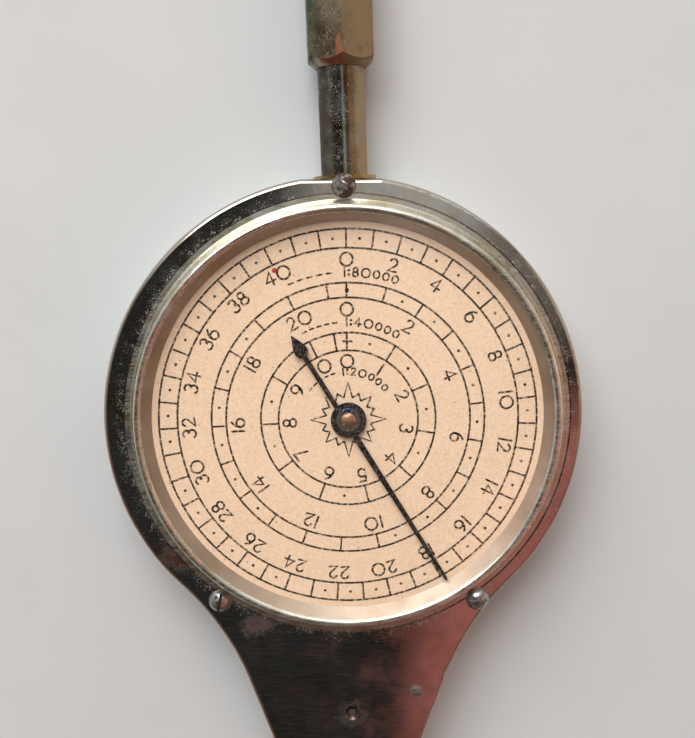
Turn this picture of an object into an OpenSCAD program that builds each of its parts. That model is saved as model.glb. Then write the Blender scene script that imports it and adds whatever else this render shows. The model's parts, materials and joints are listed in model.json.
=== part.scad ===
// Opisometer: a map measurer with a pear-shaped plated case, three distance
// scales under glass, a hexagonal handle and a small tracing wheel that turns
// the hand through a train of gears.
// Z = 0 is the back face and +Z is the dial side. +Y points to the handle.
// X = Y = 0 is the axis of the hand.

/* [Case] */
// Radius of the round head
head_r = 22.25; // [20:0.05:24.5]
// Width of the rim between the head's outside and the dial's bore
rim_w = 2.35; // [2.3:0.05:2.6]
// How far the centre line of the case lies left of the hand's axis
case_shift = 0.4; // [0:0.05:0.5]
// How deep the flat under the handle is cut into the head
flat_in = 0.3; // [0.2:0.05:0.4]
// Height of the front face above the back
case_depth = 7; // [6.3:0.05:8]
// Thickness of the back cover
back_t = 1; // [0.9:0.05:1.1]
// Thickness of the front wall over the tail
tail_front_t = 1; // [0.8:0.05:1.1]
// Thickness of the side wall round the tail
tail_wall = 1.2; // [1:0.05:1.4]
// Radius of the rounded front and back edges
edge_r = 0.5; // [0.3:0.05:0.7]

/* [Tail] */
// Radius of the hollow flank between head and tail
flank_r = 27; // [22:0.5:32]
// Angle of the straight flank to the centre line
flank_angle = 19.8; // [18:0.2:21]
// Radius of the round nose
nose_r = 7; // [6.7:0.05:7.3]
// How far the tracing wheel stands out of the nose
wheel_out = 1.54; // [1.2:0.02:2]

/* [Dial stack] */
// Width of the ledge that the movement plate lies on
ledge_w = 1; // [0.8:0.05:1.1]
// Thickness of the movement plate
movement_t = 0.75; // [0.6:0.05:0.85]
// Thickness of the metal dial plate
dial_plate_t = 0.6; // [0.5:0.05:0.7]
// Thickness of the printed paper
paper_t = 0.15; // [0.1:0.01:0.2]
// How far the paper lies under the front face
dial_drop = 0.3; // [0.2:0.05:0.35]
// How far the paper's edge stays inside the bore
paper_in = 0.7; // [0.6:0.05:0.9]
// Radius of the two dial feet
foot_r = 0.6; // [0.4:0.05:0.8]
// Distance from the bore to a dial foot
foot_in = 6.9; // [4:0.1:8]

/* [Bezel and glass] */
// How far the bezel's flange reaches past the bore
flange_w = 0.8; // [0.6:0.05:0.8]
// Thickness of the bezel's flange
flange_t = 0.25; // [0.2:0.05:0.3]
// Wall of the bezel outside the glass
bezel_wall = 0.6; // [0.5:0.05:0.7]
// Thickness of the glass
glass_t = 0.55; // [0.5:0.05:0.8]
// Height of the room for the hand, from paper to glass
glass_gap = 0.9; // [0.85:0.05:1.2]
// Width of the spacer ring at the paper
ring_foot_w = 1.1; // [0.9:0.05:1.4]
// Width of the spacer ring under the glass
ring_top_w = 0.2; // [0.1:0.05:0.5]
// How far the bezel's lip reaches over the glass
lip_w = 0.4; // [0.2:0.05:0.45]
// Thickness of the bezel's lip
lip_t = 0.22; // [0.2:0.01:0.3]

/* [Hand] */
// How far the long arm's tip stays inside the foot of the spacer ring
hand_in = 0.05; // [0:0.05:1.1]
// Reach of the short arm with its spade
hand_tail = 9.5; // [8.5:0.1:11]
// Thickness of the hand
hand_t = 0.14; // [0.1:0.01:0.16]
// Clock angle at which the hand rests
hand_az = 148.7; // [0:0.1:360]
// How far the line of the two arms passes beside the hand's axis
arm_off = 0.27; // [0:0.01:0.3]
// Radius of the hand's round boss
boss_r = 1.65; // [1.5:0.05:1.8]
// Width of the spade at its widest
spade_w = 1.3; // [1:0.05:1.6]

/* [Tracing wheel] */
// Units that one turn of the hand covers on the outer scale
dial_units = 43; // [42:0.5:44]
// Map scale that the outer scale is made for
map_scale = 80000; // [78000:500:82000]
// Thickness of the tracing wheel
wheel_t = 1.6; // [1.4:0.05:1.6]
// Teeth milled round the tracing wheel
wheel_teeth = 72; // [48:1:96]
// Depth of the milled teeth
wheel_tooth_h = 0.2; // [0.15:0.01:0.3]

/* [Gear train] */
// Module of the teeth between tracing wheel and transfer wheel
fast_module = 0.34; // [0.33:0.005:0.345]
// Distance from the bore to the idler's arbor, which sets the module of the
// teeth from the transfer pinion to the hand
idler_in = 1.5; // [1.3:0.05:1.7]
// Leaves of the pinion on the tracing wheel's arbor
wheel_leaves = 8; // [8:1:9]
// Teeth of the transfer wheel
transfer_teeth = 30; // [29:1:31]
// Leaves of the transfer pinion
transfer_leaves = 9; // [8:1:10]
// Teeth of the idler wheel, an even number
idler_teeth = 44; // [42:2:46]
// Teeth of the centre wheel
centre_teeth = 48; // [46:1:50]
// Thickness of the gear wheels
gear_t = 0.6; // [0.4:0.05:0.65]
// Radius of the arbors
arbor_r = 0.6; // [0.55:0.01:0.65]
// Radius of the pivots
pivot_r = 0.35; // [0.3:0.01:0.4]

/* [Handle] */
// Radius of the round stem
stem_r = 2.15; // [2:0.05:2.3]
// Length of the round stem
stem_len = 9.7; // [8:0.1:14]
// How far stem and handle lean to the left, in degrees
handle_lean = 1.4; // [0:0.1:2]
// Radius of the hexagonal handle across its corners
hex_r = 3.36; // [3.1:0.02:3.5]
// Length of the hexagonal handle
hex_len = 52; // [40:1:70]
// Turn of the hexagon about its own axis
hex_turn = 26; // [0:0.5:60]
// Length of the turned chamfer at each end of the hexagon
hex_chamfer = 0.9; // [0.6:0.1:1.6]
// Radius of the washer under the stem
washer_r = 2.95; // [2.6:0.05:3.1]
// Thickness of that washer
washer_t = 0.35; // [0.25:0.05:0.5]
// Radius of the threaded studs of the stem
stud_r = 1.4; // [1.2:0.05:1.5]
// Length of the stud inside the handle
stud_len = 6; // [4:0.5:10]

/* [Screws and pillar] */
// Distance from the bore to the centre of a bezel screw
screw_out = 1.45; // [1.3:0.05:1.5]
// Radius of a bezel screw's head
screw_head_r = 1.12; // [1:0.02:1.2]
// Height of a bezel screw's head
screw_head_h = 0.76; // [0.6:0.02:0.9]
// Radius of a bezel screw's shank
screw_shank_r = 0.45; // [0.4:0.05:0.45]
// Length of a bezel screw's shank
screw_shank_len = 1.75; // [1.5:0.05:1.8]
// Width of the screw slots
slot_w = 0.28; // [0.2:0.02:0.34]
// Distance from the bore to the centre of a back screw
back_out = 0.5; // [0.4:0.05:0.6]
// Radius of a back screw's countersunk head
back_head_r = 1.1; // [1:0.05:1.2]
// Radius of a back screw's shank
back_shank_r = 0.55; // [0.5:0.05:0.6]
// Length of a back screw
back_screw_len = 3.6; // [3:0.1:4]
// Distance of the tail pillar from the centre line
pillar_side = 6.25; // [6.2:0.05:6.5]
// How far the tail pillar lies above the transfer arbor, towards the head
pillar_up = 2.2; // [2:0.1:2.6]
// Radius of the tail pillar
pillar_r = 0.9; // [0.85:0.05:0.95]
// Radius of the pillar's riveted end
rivet_r = 0.6; // [0.5:0.05:0.65]

/* [Fits] */
// Radial clearance of a pivot or shaft in its hole
run_clear = 0.03; // [0.02:0.005:0.05]
// Radial clearance of a piece that drops into its seat
seat_clear = 0.05; // [0.03:0.01:0.08]
// Gap between moving pieces on neighbouring levels
level_gap = 0.4; // [0.3:0.05:0.4]
// Gap between the lowest wheels and the back cover
low_gap = 0.3; // [0.25:0.05:0.35]
// End shake of an arbor at each shoulder
end_shake = 0.12; // [0.08:0.01:0.2]
// Share of the module by which the teeth are thinned for backlash
tooth_thin = 0.15; // [0.1:0.01:0.25]

/* [Hidden] */
$fn = 96;
over = 1;                 // how far a cut runs past the face it opens
nickel = "#b9b6ad";
brass = "#c9a45c";
steel = "#8b8d90";

// Radii of what lies in and round the bore
bore_r = head_r - rim_w;
ledge_r = bore_r - ledge_w;
paper_r = bore_r - paper_in;
glass_r = bore_r - bezel_wall;
flange_r = bore_r + flange_w;
ring_foot_r = glass_r - ring_foot_w;
ring_top_r = glass_r - ring_top_w;
foot_dist = bore_r - foot_in;
screw_circle_r = bore_r + screw_out;
back_circle_r = bore_r + back_out;
hand_reach = ring_foot_r - hand_in;
flat_dist = head_r - flat_in;

// Heights of the faces, counted from the back
tail_roof_z = case_depth - tail_front_t;
dial_z = case_depth - dial_drop;
dial_plate_z = dial_z - paper_t - dial_plate_t;
ledge_z = dial_plate_z - movement_t;
glass_z = dial_z + glass_gap;
lip_z = glass_z + glass_t;
crest_z = lip_z + lip_t;
leaf_len = (tail_roof_z - back_t - wheel_t) / 2 - low_gap - level_gap;
low_z = back_t + low_gap;
wheel_z = low_z + leaf_len + level_gap;
high_z = wheel_z + wheel_t + level_gap;
web_inset = (leaf_len - gear_t) / 2;
stem_z = max(case_depth / 2, hex_r);

// The train: reduction and the places of the arbors on the line X = 0
reduction = transfer_teeth / wheel_leaves * centre_teeth / transfer_leaves;
unit_mm = 1000000 / map_scale;
wheel_r = dial_units * unit_mm / reduction / (2 * PI);
idler_y = -(bore_r - idler_in);
slow_module = -idler_y * 2 / (centre_teeth + idler_teeth);
transfer_y = idler_y - (idler_teeth + transfer_leaves) / 2 * slow_module;
wheel_y = transfer_y - (transfer_teeth + wheel_leaves) / 2 * fast_module;

// The outline: the nose follows the tracing wheel, a straight flank touches it,
// and a hollow arc meets the flank at a very flat angle and touches the head
flank_let_in = 0.005;
nose_dist = wheel_r - wheel_y - wheel_out - nose_r;
flank_n = [cos(flank_angle), -sin(flank_angle)];
flank_t = [sin(flank_angle), cos(flank_angle)];
line_dist = nose_dist * sin(flank_angle) + nose_r;
flank_along = sqrt(pow(head_r + flank_r, 2) - pow(line_dist + flank_r, 2));
flank_c = (line_dist + flank_r) * flank_n - flank_along * flank_t;
head_join = atan2(flank_c[1], flank_c[0]);

// Places of the fasteners
bezel_screw_az = [-0.4, 145.4, -144.4];
screw_slot_turn = [-38, -4, 78];
back_screw_az = [60, -60];
back_slot_turn = [25, -50, 70];
pillar_pos = [pillar_side, transfer_y + pillar_up];
screw_wall = 0.9;
pocket_half = screw_circle_r * sin(bezel_screw_az[1]) - screw_head_r - screw_wall;
pocket_top_y = over - sqrt(pow(ledge_r, 2) - pow(pocket_half, 2));
slot_depth = screw_head_h / 2;
foot_len = 1.5;
pin_r = 0.3;
pin_len = 2;
boss_neck_r = 1.15;
bush_r = 1.75;
bush_collar_w = 0.6;
bush_collar_t = 0.3;
hand_arbor_r = 0.78;
rivet_spread = 0.09;
rivet_dome_h = 0.16;
collet_rise = 0.1;
collet_bevel = 0.1;
arm_root_w = 0.6;
arm_tip_w = 0.32;
tail_arm_w = 0.45;
spade_len = 2.5;
tip_rows = 12;
sink_r = 0.75;
sink_h = 0.3;
flange_bevel = 0.12;
rivet_stand = 0.12;

function at(az, r) = [r * sin(az), r * cos(az)];
function mirrored(p) = [-p[0], p[1]];

// ---------- outline of the case ----------

// A slab with the pear-shaped outline, drawn inwards by inset
module pear_slab(h, inset = 0) {
    flank_foot = (line_dist - inset + flank_let_in) * flank_n - flank_along * flank_t;
    nose_foot = [0, -nose_dist] + (nose_r - inset) * flank_n;
    translate([-case_shift, 0, 0]) {
        cylinder(r = head_r - inset, h = h);
        translate([0, -nose_dist, 0]) cylinder(r = nose_r - inset, h = h);
        linear_extrude(h) difference() {
            polygon([[0, 0], flank_c, flank_foot, nose_foot,
                mirrored(nose_foot), mirrored(flank_foot), mirrored(flank_c)]);
            for (side = [-1, 1])
                translate([side * flank_c[0], flank_c[1]]) circle(r = flank_r + inset);
        }
    }
}

// Section of the cut that rounds an edge: the corner lies at [0, 0], the body
// to the left of it and below
module edge_section() {
    tuck = edge_r * 0.97;
    difference() {
        translate([-edge_r, -edge_r]) square(edge_r + over);
        translate([-tuck, -tuck]) circle(r = edge_r, $fn = 48);
    }
}

// The cut that rounds the whole outline at the height z = 0, from above. Along
// the hollow arcs it goes a hair deeper and past both ends, to cross the rest
module edge_cut() {
    nose_turn = 90 - flank_angle;
    flank_turn = -flank_angle - head_join;
    hollow_past = 1.5;
    translate([-case_shift, 0, 0]) {
        rotate([0, 0, head_join])
            rotate_extrude(angle = 180 - 2 * head_join) translate([head_r, 0]) edge_section();
        translate([0, -nose_dist, 0]) rotate([0, 0, -90 - nose_turn])
            rotate_extrude(angle = 2 * nose_turn) translate([nose_r, 0]) edge_section();
        for (side = [0, 1]) mirror([side, 0, 0]) {
            translate([flank_c[0], flank_c[1], 0]) rotate([0, 0, 180 + head_join - hollow_past])
                rotate_extrude(angle = flank_turn + 2 * hollow_past)
                    translate([flank_r + flank_let_in, 0]) mirror([1, 0, 0]) edge_section();
            edge_run();
        }
        translate([-head_r, flat_dist, 0]) rotate([90, 0, 90])
            linear_extrude(2 * head_r) edge_section();
    }
}

// The straight stretch of that cut, along the flank
module edge_run() {
    nose_foot_along = nose_dist * cos(flank_angle);
    translate([line_dist * flank_n[0], line_dist * flank_n[1], 0])
        rotate([0, 0, -flank_angle]) translate([0, -nose_foot_along, 0])
            rotate([90, 0, 0]) mirror([0, 0, 1])
                linear_extrude(nose_foot_along - flank_along) edge_section();
}

// A slab of the case, with the flat under the handle
module case_slab(h) {
    difference() {
        pear_slab(h);
        translate([-head_r - case_shift, flat_dist, -over])
            cube([2 * head_r, head_r, h + 2 * over]);
    }
}

// Inside of the tail, open to the back
module tail_pocket(h) {
    intersection() {
        pear_slab(h, tail_wall);
        translate([-pocket_half, -2 * nose_dist, 0])
            cube([2 * pocket_half, 2 * nose_dist + pocket_top_y, h]);
    }
}

// ---------- case ----------

// Hole for a pivot with its oil sink, seen from the outside at z = 0
module pivot_hole(depth) {
    translate([0, 0, -depth - over]) cylinder(r = pivot_r + run_clear, h = depth + 2 * over);
    translate([0, 0, -sink_h]) cylinder(r1 = pivot_r + run_clear, r2 = sink_r + sink_h, h = 2 * sink_h);
}

module case_body() {
    pinion_room_r = (wheel_leaves / 2 + addendum) * fast_module + level_gap;
    color(nickel) difference() {
        translate([0, 0, back_t]) case_slab(case_depth - back_t);
        translate([0, 0, case_depth]) edge_cut();
        translate([0, 0, ledge_z]) cylinder(r = bore_r, h = case_depth);
        translate([0, 0, back_t - over]) cylinder(r = ledge_r, h = case_depth);
        translate([0, 0, case_depth - flange_t])
            cylinder(r = flange_r + seat_clear, h = flange_t + over);
        translate([0, 0, back_t - over]) tail_pocket(tail_roof_z - back_t + over);
        translate([0, wheel_y, back_t - over])
            cylinder(r = wheel_r + level_gap, h = wheel_z + wheel_t + level_gap - back_t + over);
        translate([0, wheel_y, high_z - over])
            cylinder(r = pinion_room_r, h = tail_roof_z - high_z + over);
        for (y = [transfer_y, wheel_y])
            translate([0, y, case_depth]) pivot_hole(tail_front_t);
        translate([pillar_pos[0], pillar_pos[1], tail_roof_z - over])
            cylinder(r = rivet_r, h = tail_front_t + 2 * over);
        for (az = bezel_screw_az) translate(at(az, screw_circle_r))
            translate([0, 0, case_depth - screw_shank_len]) cylinder(r = screw_shank_r, h = case_depth);
        for (az = back_screw_az) translate(at(az, back_circle_r))
            translate([0, 0, back_t - over]) cylinder(r = back_shank_r, h = back_screw_len + over);
        stem_axis() translate([0, 0, ledge_r - over - flat_dist]) cylinder(r = stud_r, h = head_r);
        translate([ledge_r + ledge_w / 2, 0, ledge_z - pin_len + movement_t])
            cylinder(r = pin_r, h = pin_len);
    }
}

// Turns a piece that stands on z = 0 to stand on the flat, along the handle's axis
module stem_axis() {
    translate([0, flat_dist, stem_z]) rotate([0, 0, handle_lean]) rotate([-90, 0, 0]) children();
}

module back_cover() {
    color(nickel) difference() {
        case_slab(back_t);
        mirror([0, 0, 1]) edge_cut();
        for (y = [0, idler_y, transfer_y, wheel_y])
            translate([0, y, 0]) mirror([0, 0, 1]) pivot_hole(back_t);
        at_back_screws() {
            translate([0, 0, -over]) cylinder(r = back_shank_r + seat_clear, h = back_t + 2 * over);
            translate([0, 0, -over / 2])
                cylinder(r1 = back_head_r + over / 2, r2 = 0, h = back_head_r + over / 2);
        }
    }
}

// The places of the back screws: two in the rim and one in the tail pillar
module at_back_screws() {
    for (az = back_screw_az) translate(at(az, back_circle_r)) children();
    translate(pillar_pos) children();
}

module back_screws() {
    places = [at(back_screw_az[0], back_circle_r), at(back_screw_az[1], back_circle_r), pillar_pos];
    color(steel) for (i = [0 : len(places) - 1])
        translate(places[i]) rotate([0, 0, back_slot_turn[i]]) difference() {
            union() {
                cylinder(r = back_shank_r, h = back_screw_len);
                cylinder(r1 = back_head_r, r2 = back_shank_r, h = back_head_r - back_shank_r);
            }
            translate([-back_head_r, -slot_w / 2, -over])
                cube([2 * back_head_r, slot_w, slot_depth + over]);
        }
}

module tail_pillar() {
    color(brass) translate([pillar_pos[0], pillar_pos[1], 0]) difference() {
        union() {
            translate([0, 0, back_t]) cylinder(r = pillar_r, h = tail_roof_z - back_t);
            cylinder_between(rivet_r, tail_roof_z, case_depth);
            translate([0, 0, case_depth]) dome(rivet_r, rivet_stand);
        }
        translate([0, 0, back_t - over]) cylinder(r = back_shank_r, h = back_screw_len);
    }
}

// A cylinder on the Z axis from one height to another
module cylinder_between(r, low, high) {
    translate([0, 0, low]) cylinder(r = r, h = high - low);
}

// A cap of a sphere, of the given radius and height, standing on z = 0
module dome(r, h) {
    ball = (r * r + h * h) / (2 * h);
    rotate_extrude() intersection() {
        translate([0, h - ball]) circle(r = ball, $fn = 96);
        square([r, h]);
    }
}

// ---------- dial and glass ----------

module movement_plate() {
    color(brass) translate([0, 0, ledge_z]) difference() {
        cylinder(r = bore_r - seat_clear, h = movement_t);
        translate([0, 0, -over]) {
            cylinder(r = bush_r, h = movement_t + 2 * over);
            translate([0, idler_y, 0]) cylinder(r = pivot_r + run_clear, h = movement_t + 2 * over);
            for (side = [-1, 1]) translate([side * foot_dist, 0, 0])
                cylinder(r = foot_r + seat_clear, h = movement_t + 2 * over);
            translate([ledge_r + ledge_w / 2, 0, 0])
                cylinder(r = pin_r + seat_clear, h = movement_t + 2 * over);
        }
    }
}

module locating_pin() {
    color(steel) translate([ledge_r + ledge_w / 2, 0, ledge_z - pin_len + movement_t])
        cylinder(r = pin_r, h = pin_len);
}

module centre_bush() {
    color(brass) difference() {
        union() {
            cylinder_between(bush_r, ledge_z, dial_plate_z);
            cylinder_between(bush_r + bush_collar_w, ledge_z - bush_collar_t, ledge_z);
        }
        translate([0, 0, ledge_z - over]) cylinder(r = arbor_r + run_clear, h = movement_t + 2 * over);
    }
}

module dial_plate() {
    color(brass) translate([0, 0, dial_plate_z]) difference() {
        cylinder(r = bore_r - seat_clear, h = dial_plate_t);
        translate([0, 0, -over]) cylinder(r = boss_neck_r, h = dial_plate_t + 2 * over);
    }
}

module dial_paper() {
    color("#efcda8") translate([0, 0, dial_z - paper_t]) difference() {
        cylinder(r = paper_r, h = paper_t);
        translate([0, 0, -over]) cylinder(r = boss_neck_r, h = paper_t + 2 * over);
    }
}

module dial_feet() {
    color(brass) for (side = [-1, 1])
        translate([side * foot_dist, 0, dial_plate_z - foot_len]) cylinder(r = foot_r, h = foot_len);
}

// The conical ring between the paper and the glass
module spacer_ring() {
    color(nickel) translate([0, 0, dial_z]) rotate_extrude()
        polygon([[ring_foot_r, 0], [glass_r, 0], [glass_r, glass_gap], [ring_top_r, glass_gap]]);
}

module crystal() {
    bevel = glass_t / 5;
    color("#dfe9ea", 0.35) translate([0, 0, glass_z]) rotate_extrude()
        polygon([[0, 0], [glass_r, 0], [glass_r, glass_t - bevel], [glass_r - bevel, glass_t],
            [0, glass_t]]);
}

// Spigot, flange, sloping band, step and rounded crest of the bezel
module bezel() {
    bore = glass_r + seat_clear;
    spigot_r = bore_r - seat_clear;
    spigot_z = dial_z - paper_t;
    lip_r = glass_r - lip_w;
    crest_r = (spigot_r - lip_r) / 2 - seat_clear;
    crest_c = [lip_r + crest_r, crest_z - crest_r];
    step_r = lip_r + 2 * crest_r;
    band_top = [step_r + seat_clear, case_depth + (crest_z - case_depth) / 2];
    clamp_r = screw_circle_r - screw_head_r - seat_clear;
    band_foot_z = case_depth + flange_t / 3;
    color(nickel) {
        rotate_extrude() polygon([[bore, spigot_z], [spigot_r, spigot_z],
            [spigot_r, case_depth - flange_t], [flange_r, case_depth - flange_t],
            [flange_r, case_depth - flange_bevel], [flange_r - flange_bevel, case_depth],
            [clamp_r, case_depth], [clamp_r, band_foot_z],
            band_top, [step_r, band_top[1]], [step_r, crest_c[1]], [bore, crest_c[1]]]);
        rotate_extrude() difference() {
            translate(crest_c) circle(r = crest_r, $fn = 64);
            translate([bore - over, lip_z - over]) square(over);
        }
    }
}

module bezel_screws() {
    color(steel) for (i = [0 : len(bezel_screw_az) - 1])
        translate(at(bezel_screw_az[i], screw_circle_r)) rotate([0, 0, screw_slot_turn[i]])
            difference() {
                union() {
                    translate([0, 0, case_depth]) dome(screw_head_r, screw_head_h);
                    cylinder_between(screw_shank_r, case_depth - screw_shank_len, case_depth);
                }
                translate([-screw_head_r, -slot_w / 2, case_depth + slot_depth])
                    cube([2 * screw_head_r, slot_w, screw_head_h]);
            }
}

// ---------- hand ----------

collet_z = dial_z + end_shake;
hand_z = collet_z + hand_t * 1.5;
boss_top_z = hand_z + hand_t + collet_rise;

// Half width of the spade, from its neck at 0 to its point at 1
function spade_half(s) = spade_w / 2 * sin(180 * pow(s, 0.62)) * (1.08 - 0.3 * s);

module hand() {
    neck = hand_tail - spade_len;
    rows = [for (i = [0 : tip_rows]) i / tip_rows];
    color("#1b1a1e") translate([0, 0, hand_z]) rotate([0, 0, -hand_az]) difference() {
        union() {
            cylinder(r = boss_r, h = hand_t);
            translate([arm_off, 0, 0]) {
                linear_extrude(hand_t)
                    polygon([[-arm_root_w / 2, 0], [arm_root_w / 2, 0],
                        [arm_tip_w / 2, hand_reach - arm_tip_w], [0, hand_reach],
                        [-arm_tip_w / 2, hand_reach - arm_tip_w]]);
                translate([-tail_arm_w / 2, -neck - spade_len / 4, 0])
                    cube([tail_arm_w, neck + spade_len / 4, hand_t]);
                linear_extrude(hand_t) polygon(concat(
                    [for (s = rows) [-spade_half(s), -neck - spade_len * s]],
                    [for (i = [tip_rows - 1 : -1 : 1])
                        [spade_half(rows[i]), -neck - spade_len * rows[i]]]));
            }
        }
        translate([0, 0, -over]) cylinder(r = boss_neck_r, h = hand_t + 2 * over);
    }
}

module hand_collet() {
    color("#2a3350") difference() {
        union() {
            cylinder_between(boss_r, collet_z, hand_z);
            cylinder_between(boss_neck_r, hand_z, boss_top_z - collet_bevel);
            translate([0, 0, boss_top_z - collet_bevel])
                cylinder(r1 = boss_neck_r, r2 = boss_neck_r - collet_bevel, h = collet_bevel);
        }
        translate([0, 0, collet_z - over]) cylinder(r = arbor_r, h = case_depth);
    }
}

module hand_arbor() {
    shoulder_z = ledge_z - bush_collar_t - end_shake;
    color("#b87350") {
        cylinder_between(pivot_r, sink_h, back_t + end_shake);
        cylinder_between(hand_arbor_r, back_t + end_shake, shoulder_z);
        cylinder_between(arbor_r, shoulder_z, boss_top_z);
        translate([0, 0, boss_top_z]) dome(arbor_r + rivet_spread, rivet_dome_h);
    }
}

// ---------- gear train ----------

pressure_angle = 20;
addendum = 0.9;
dedendum = 1.2;
flank_steps = 4;
spokes = 5;

function involute(a) = tan(a) * 180 / PI - a;

// Radii along one flank of a tooth, from root to tip
function flank_radii(teeth, m) = let (
    pitch_r = teeth * m / 2,
    base_r = pitch_r * cos(pressure_angle),
    root_r = pitch_r - dedendum * m,
    start_r = max(base_r, root_r),
    step = (pitch_r + addendum * m - start_r) / flank_steps)
    concat(root_r < base_r ? [root_r] : [], [for (i = [0 : flank_steps]) start_r + i * step]);

// Half the angle that a tooth fills at a radius
function tooth_half(r, teeth, m) = let (
    pitch_r = teeth * m / 2,
    base_r = pitch_r * cos(pressure_angle),
    a = r > base_r ? acos(base_r / r) : 0)
    90 / teeth - tooth_thin * m / 2 / pitch_r * 180 / PI + involute(pressure_angle) - involute(a);

// Outline of a gear with one tooth centred on the direction start
module gear_outline(teeth, m, start) {
    radii = flank_radii(teeth, m);
    rows = len(radii);
    polygon([for (k = [0 : teeth - 1], i = [0 : 2 * rows - 1])
        let (rising = i < rows,
            r = rising ? radii[i] : radii[2 * rows - 1 - i],
            a = start + k * 360 / teeth + (rising ? -1 : 1) * tooth_half(r, teeth, m))
        [r * cos(a), r * sin(a)]]);
}

// A spoked brass wheel with its bore, lying on z = 0
module gear_wheel(teeth, m, start, bore) {
    rim_r = (teeth / 2 - dedendum) * m - gear_t;
    hub_r = bore + 2 * gear_t;
    linear_extrude(gear_t) difference() {
        gear_outline(teeth, m, start);
        circle(r = bore);
        difference() {
            circle(r = rim_r);
            circle(r = hub_r);
            for (k = [0 : spokes - 1]) rotate(start + k * 360 / spokes)
                translate([0, -gear_t]) square([teeth * m, 2 * gear_t]);
        }
    }
}

// A steel arbor with a pivot at each end, between the back cover and a roof
module arbor(roof_z, pivot_depth) {
    cylinder_between(pivot_r, sink_h, back_t + end_shake);
    cylinder_between(arbor_r, back_t + end_shake, roof_z - end_shake);
    cylinder_between(pivot_r, roof_z - end_shake, roof_z + pivot_depth);
}

// The hand's wheel has a tooth towards the tail, so the idler has a gap there,
// and so on down the train
centre_start = -90;
idler_start = 90 + 180 / idler_teeth;
transfer_pinion_start = idler_teeth % 2 == 0 ? 90 : 90 + 180 / transfer_leaves;
transfer_start = -90;
wheel_pinion_start = 90 + 180 / wheel_leaves;

module centre_gear() {
    color(brass) translate([0, 0, low_z + web_inset])
        gear_wheel(centre_teeth, slow_module, centre_start, hand_arbor_r);
}

module idler_arbor() {
    color(steel) translate([0, idler_y, 0]) arbor(ledge_z, movement_t - seat_clear);
}

module idler_gear() {
    color(brass) translate([0, idler_y, low_z + web_inset])
        gear_wheel(idler_teeth, slow_module, idler_start, arbor_r);
}

module transfer_arbor() {
    color(steel) translate([0, transfer_y, 0]) {
        arbor(tail_roof_z, tail_front_t - sink_h);
        translate([0, 0, low_z]) linear_extrude(leaf_len)
            gear_outline(transfer_leaves, slow_module, transfer_pinion_start);
    }
}

module transfer_gear() {
    color(brass) translate([0, transfer_y, high_z + web_inset])
        gear_wheel(transfer_teeth, fast_module, transfer_start, arbor_r);
}

module wheel_arbor() {
    color(steel) translate([0, wheel_y, 0]) {
        arbor(tail_roof_z, tail_front_t - sink_h);
        translate([0, 0, high_z]) linear_extrude(leaf_len)
            gear_outline(wheel_leaves, fast_module, wheel_pinion_start);
    }
}

// The tracing wheel: a toothed rim on a thinner web with a hub
module tracing_wheel() {
    rim_w = wheel_t / 2;
    web_r = wheel_r - wheel_tooth_h - rim_w;
    hub_r = arbor_r * 2.5;
    color(steel) translate([0, wheel_y, wheel_z]) difference() {
        linear_extrude(wheel_t) polygon([for (k = [0 : 2 * wheel_teeth - 1])
            let (r = wheel_r - (k % 2) * wheel_tooth_h, a = k * 180 / wheel_teeth)
            [r * cos(a), r * sin(a)]]);
        for (z = [-over, wheel_t * 3 / 4]) translate([0, 0, z]) difference() {
            cylinder(r = web_r, h = wheel_t / 4 + over);
            translate([0, 0, -over]) cylinder(r = hub_r, h = wheel_t + 4 * over);
        }
        translate([0, 0, -over]) cylinder(r = arbor_r, h = wheel_t + 2 * over);
    }
}

// ---------- handle ----------

// Heights above the flat: the leaning washer touches it with its left edge
washer_foot = washer_r * sin(handle_lean);
stem_foot = washer_foot + washer_t;
handle_foot = stem_foot + stem_len;

module stem_washer() {
    color(brass) stem_axis() translate([0, 0, washer_foot]) difference() {
        cylinder(r = washer_r, h = washer_t);
        translate([0, 0, -over]) cylinder(r = stud_r + seat_clear, h = washer_t + 2 * over);
    }
}

module stem() {
    stud_foot = bore_r - ledge_w / 2 - flat_dist;
    stud_top = handle_foot + stud_len;
    color(nickel) stem_axis() rotate_extrude()
        polygon([[0, stud_foot], [stud_r, stud_foot], [stud_r, stem_foot], [stem_r, stem_foot],
            [stem_r, handle_foot], [stud_r, handle_foot], [stud_r, stud_top], [0, stud_top]]);
}

// A hexagonal rod whose corners are turned off at both ends
module handle() {
    end_r = stem_r + hex_chamfer / 5;
    cap_r = hex_r * 3 / 5;
    past = hex_r - end_r + seat_clear;
    color(nickel) stem_axis() translate([0, 0, handle_foot]) difference() {
        intersection() {
            rotate([0, 0, -hex_turn]) cylinder(r = hex_r, h = hex_len, $fn = 6);
            rotate_extrude() polygon([[0, 0], [end_r, 0],
                [end_r + past, hex_chamfer * past / (hex_r - end_r)],
                [end_r + past, hex_len - hex_chamfer], [cap_r, hex_len], [0, hex_len]]);
        }
        translate([0, 0, -over]) cylinder(r = stud_r + seat_clear, h = stud_len + 2 * over);
    }
}

case_body();
back_cover();
back_screws();
bezel();
bezel_screws();
crystal();
spacer_ring();
dial_plate();
dial_paper();
dial_feet();
movement_plate();
locating_pin();
centre_bush();
tail_pillar();
hand();
hand_collet();
hand_arbor();
centre_gear();
idler_arbor();
idler_gear();
transfer_arbor();
transfer_gear();
wheel_arbor();
tracing_wheel();
stem_washer();
stem();
handle();
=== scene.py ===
import json
import math

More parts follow.
